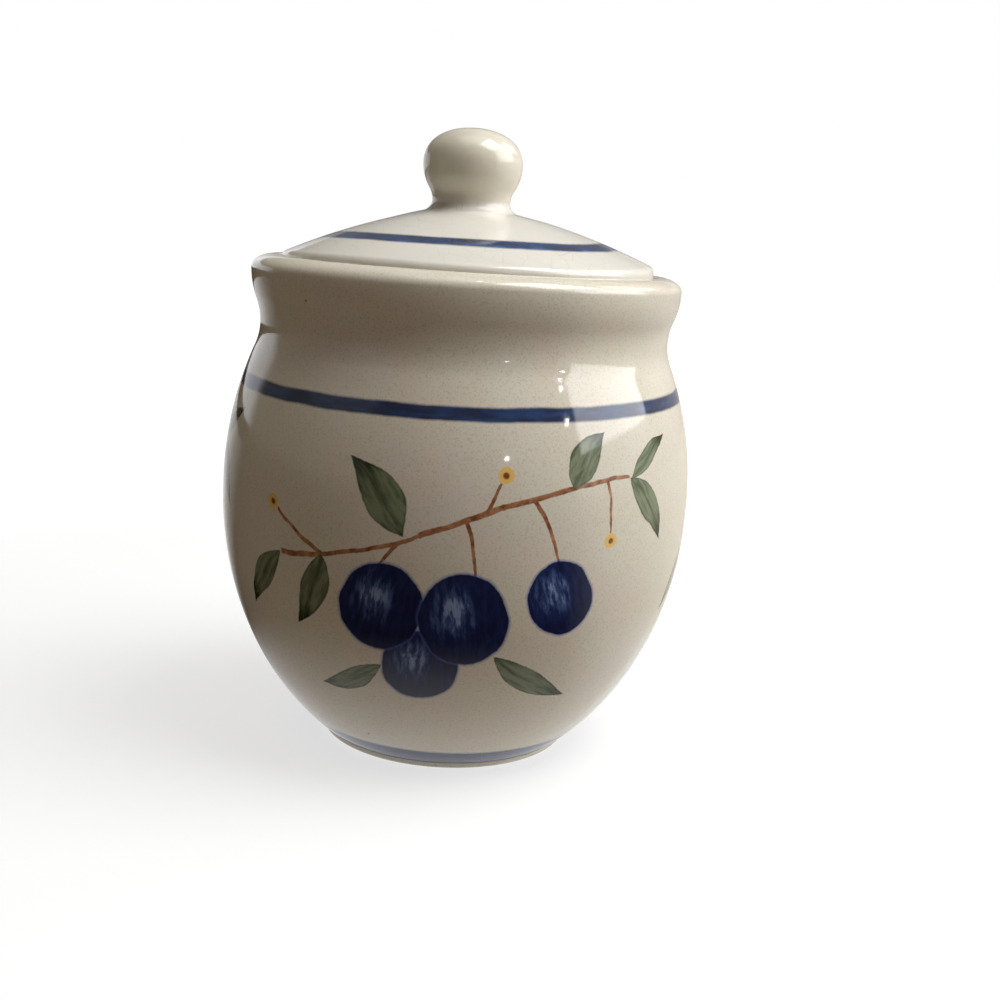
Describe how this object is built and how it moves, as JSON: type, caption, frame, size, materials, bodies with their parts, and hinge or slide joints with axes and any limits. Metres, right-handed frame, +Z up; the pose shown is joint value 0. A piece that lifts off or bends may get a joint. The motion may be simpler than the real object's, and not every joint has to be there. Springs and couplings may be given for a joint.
{
  "type": "jam pot",
  "caption": "Round-bellied glazed earthenware jam pot with a flared rim, a drop-in domed lid seated in a gallery, and a ball knob.",
  "frame": {"origin": "centre of the foot ring's flat underside, on the table that the pot stands on", "axes": "+Z up along the pot's axis, through the middle of the lid and its knob; the pot is round, so +X and +Y are any two directions across it"},
  "size_m": [0.0946, 0.0946, 0.1227],
  "materials": {
    "cream_glaze": "gloss"
  },
  "bodies": {
    "pot": {"pot": "cream_glaze"},
    "lid": {"lid": "cream_glaze", "lid_knob": "cream_glaze"}
  },
  "joints": [
    {"name": "lid_lift", "type": "slide", "parent": "pot", "child": "lid", "axis": [0, 0, 1], "range_m": [0, 0.08]}
  ]
}
